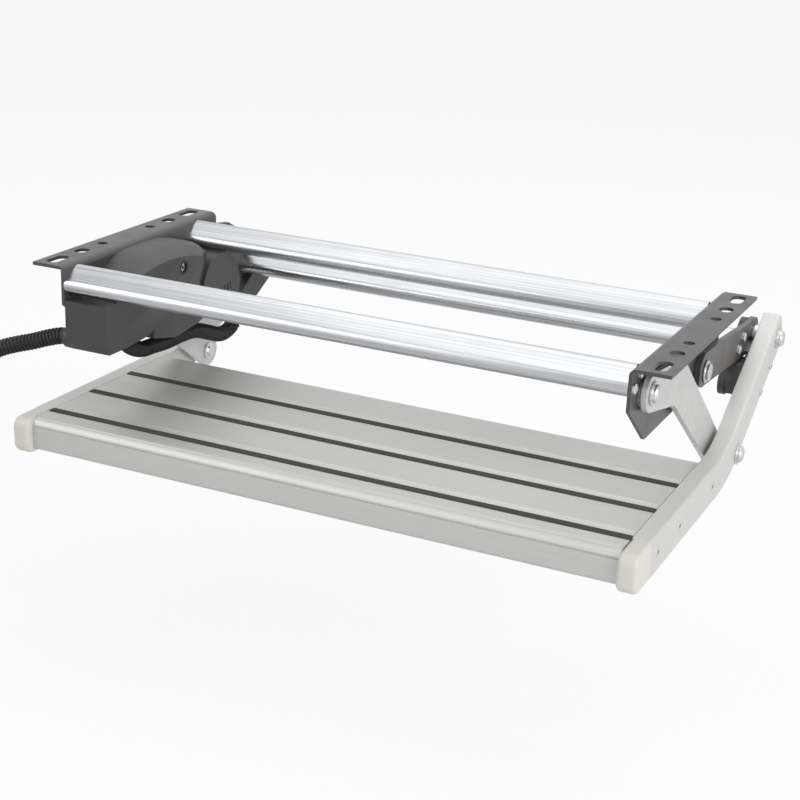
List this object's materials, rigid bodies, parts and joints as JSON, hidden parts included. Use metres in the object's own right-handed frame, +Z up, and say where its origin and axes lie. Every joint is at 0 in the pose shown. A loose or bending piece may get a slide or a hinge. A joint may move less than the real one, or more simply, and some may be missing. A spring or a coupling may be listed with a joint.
{
  "type": "caravan pull out step",
  "caption": "Electric pull out step for a caravan door: a ribbed tread between bent arms, swung out and down by levers under slotted mounting brackets, with a motor drive and conduit.",
  "frame": {"origin": "centre of the rectangle of round mounting holes, on the top face of the bracket flanges", "axes": "+X to the right seen from the front, +Y towards the rear, +Z up"},
  "size_m": [0.8992, 0.642, 0.1729],
  "materials": {
    "tread_aluminium": "anodised satin, fine extrusion lines",
    "tube_aluminium": "bright mill finish",
    "grip_rubber": "matte",
    "cap_plastic": "waxy, off-white",
    "black_paint": "satin black",
    "black_plastic": "fine grained",
    "conduit_plastic": "satin black",
    "lever_steel": "zinc plated",
    "zinc_steel": "bright zinc plated",
    "motor_steel": "satin grey",
    "bronze": "machined"
  },
  "bodies": {
    "frame": {"left_bracket": "black_paint", "right_bracket": "black_paint", "front_tube": "tube_aluminium", "rear_tube": "tube_aluminium", "tube_screws": "zinc_steel", "front_pivot_bolts": "zinc_steel", "front_pivot_washers": "zinc_steel", "rear_pivot_bolt": "zinc_steel", "rear_pivot_washer": "zinc_steel", "shaft_bush": "bronze", "motor_can": "motor_steel", "motor_clamps": "black_plastic", "worm_bearings": "bronze", "housing_back_plate": "black_plastic", "motor_cover": "black_plastic", "gear_case_cap": "black_plastic", "housing_bolt": "zinc_steel", "limit_switch": "black_plastic", "rear_conduit": "conduit_plastic", "rear_conduit_collars": "black_plastic", "conduit_gland": "black_plastic", "supply_conduit": "conduit_plastic", "conduit_coil": "conduit_plastic", "conduit_plug": "black_plastic"},
    "rear_levers": {"left_rear_lever": "black_paint", "right_rear_lever": "black_paint", "link_tube": "tube_aluminium", "link_tube_screws": "zinc_steel", "output_shaft": "zinc_steel", "worm_wheel": "bronze", "shaft_bolt": "zinc_steel"},
    "front_levers": {"left_front_lever": "lever_steel", "right_front_lever": "lever_steel", "lever_rivets": "zinc_steel"},
    "step": {"tread_panel": "tread_aluminium", "front_grip_strip": "grip_rubber", "middle_grip_strip": "grip_rubber", "rear_grip_strip": "grip_rubber", "left_arm": "tread_aluminium", "right_arm": "tread_aluminium", "left_end_cap": "cap_plastic", "right_end_cap": "cap_plastic", "arm_screws": "zinc_steel", "left_pivot_fork": "black_plastic", "right_pivot_fork": "black_plastic", "fork_screws": "zinc_steel", "upper_step_bolts": "zinc_steel", "upper_pivot_spacers": "zinc_steel", "lower_step_bolts": "zinc_steel", "lower_pivot_spacers": "zinc_steel"},
    "motor_shaft": {"worm_shaft": "zinc_steel"}
  },
  "joints": [
    {"name": "step_swing", "type": "hinge", "parent": "frame", "child": "rear_levers", "pos_m": [0, 0.0712, -0.0585], "axis": [-1, 0, 0], "range_deg": [0, 124.45]},
    {"name": "step_tilt", "type": "hinge", "parent": "rear_levers", "child": "step", "pos_m": [0, 0.24409, -0.06975], "axis": [-1, 0, 0], "range_deg": [-124.45, 0]},
    {"name": "front_lever_swing", "type": "hinge", "parent": "frame", "child": "front_levers", "pos_m": [0, -0.0974, -0.028], "axis": [-1, 0, 0], "range_deg": [0, 74.38]},
    {"name": "worm_spin", "type": "hinge", "parent": "frame", "child": "motor_shaft", "pos_m": [-0.243, 0.06814, -0.03359], "axis": [0, 0.9925, 0.1219], "range_deg": [0, 4978]}
  ],
  "couplings": [
    {"joint": "step_tilt", "follows": "step_swing", "ratio": -1},
    {"joint": "front_lever_swing", "follows": "step_swing", "ratio": 0.59767},
    {"joint": "worm_spin", "follows": "step_swing", "ratio": 40}
  ]
}
